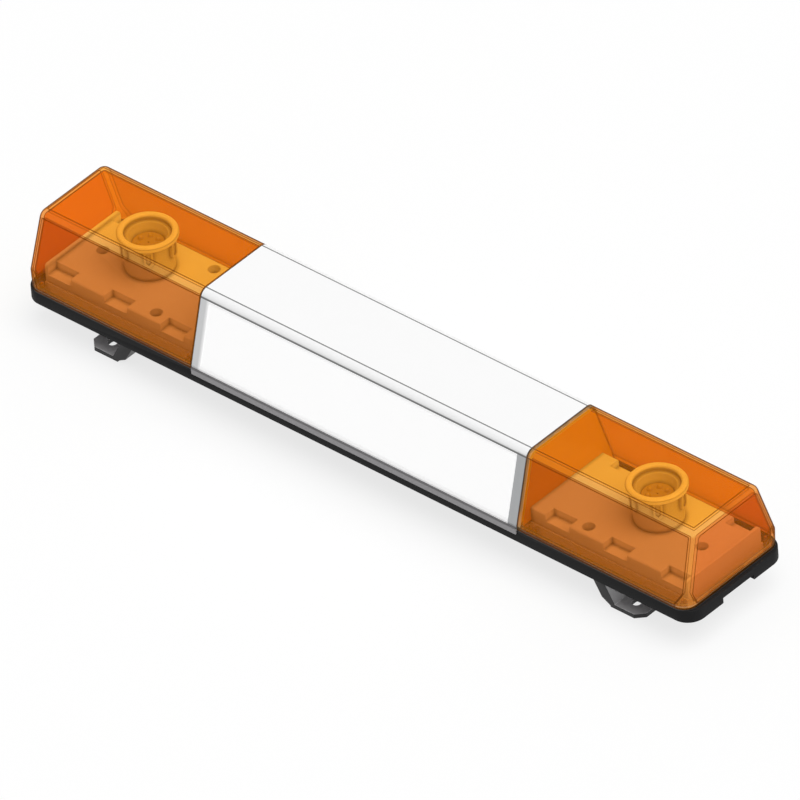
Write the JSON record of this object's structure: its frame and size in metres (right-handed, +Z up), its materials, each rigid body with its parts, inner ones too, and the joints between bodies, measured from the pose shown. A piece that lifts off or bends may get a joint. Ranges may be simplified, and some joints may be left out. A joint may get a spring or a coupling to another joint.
{
  "type": "vehicle warning light bar",
  "caption": "Roof warning light bar: amber see-through end domes over open round lamps, blank white centre sign box, black base tray and sliding mounting feet.",
  "frame": {"origin": "on the floor under the middle of the bar, between the two feet", "axes": "+X along the bar, +Y to its rear, +Z up"},
  "size_m": [1.2, 0.201, 0.1814],
  "materials": {
    "tray_black": "fine textured moulding",
    "aluminium_profile": "mill finish extrusion",
    "deck_plastic": "moulded, satin",
    "zinc_screw": "zinc plated",
    "lamp_housing": "moulded, satin",
    "lamp_rim": "moulded, satin",
    "clip_spring": "moulded spring clips",
    "board_dark": "coated circuit board",
    "diode_clear": "clear domes",
    "lens_amber": "transparent amber polycarbonate",
    "seal_rubber": "moulded rubber",
    "cover_white": "white opal moulding, satin",
    "panel_white": "blank white sheet",
    "skirt_grey": "grey strip, satin",
    "strip_white": "white circuit board",
    "box_black": "moulded box",
    "board_green": "circuit board",
    "box_lid": "black finned lid",
    "cable_black": "cable sheath",
    "gland_black": "nylon",
    "foot_grey": "dark grey powder coat on a casting",
    "pad_rubber": "moulded rubber",
    "zinc_bolt": "zinc plated",
    "steel_plate": "plated steel"
  },
  "bodies": {
    "bar": {"keyway_rail_left": "aluminium_profile", "keyway_rail_right": "aluminium_profile", "deck_left": "deck_plastic", "deck_right": "deck_plastic", "deck_screws_left": "zinc_screw", "deck_screws_right": "zinc_screw", "lamp_cup_left": "lamp_housing", "lamp_cup_right": "lamp_housing", "lamp_ring_left": "lamp_rim", "lamp_ring_right": "lamp_rim", "lamp_clips_left": "clip_spring", "lamp_clips_right": "clip_spring", "lamp_board_left": "board_dark", "lamp_board_right": "board_dark", "lamp_diodes_left": "diode_clear", "lamp_diodes_right": "diode_clear", "lens_seal_left": "seal_rubber", "lens_seal_right": "seal_rubber", "lens_screws_left": "zinc_screw", "lens_screws_right": "zinc_screw", "seam_seal_left": "seal_rubber", "seam_seal_right": "seal_rubber", "cover_screws": "zinc_screw", "sign_light_rail": "aluminium_profile", "sign_strip_front": "strip_white", "sign_strip_rear": "strip_white", "control_case": "box_black", "control_board": "board_green", "control_lid": "box_lid", "control_screws": "zinc_screw", "wiring_left": "cable_black", "wiring_right": "cable_black", "gland_nut": "gland_black", "gland_grommet": "seal_rubber", "base_front": "tray_black", "base_rear": "tray_black", "base_spine": "tray_black", "lens_left": "lens_amber", "lens_right": "lens_amber", "centre_cover": "cover_white", "front_panel": "panel_white", "rear_panel": "panel_white", "front_skirt": "skirt_grey", "rear_skirt": "skirt_grey", "gland_body": "gland_black"},
    "left_foot": {"foot_left": "foot_grey", "foot_pad_left": "pad_rubber", "clamp_bolts_left": "zinc_bolt", "clamp_nut_left": "steel_plate"},
    "right_foot": {"foot_right": "foot_grey", "foot_pad_right": "pad_rubber", "clamp_bolts_right": "zinc_bolt", "clamp_nut_right": "steel_plate"}
  },
  "joints": [
    {"name": "left_foot_slide", "type": "slide", "parent": "bar", "child": "left_foot", "axis": [-1, 0, 0], "range_m": [-0.045, 0.1]},
    {"name": "right_foot_slide", "type": "slide", "parent": "bar", "child": "right_foot", "axis": [1, 0, 0], "range_m": [-0.045, 0.1]}
  ]
}
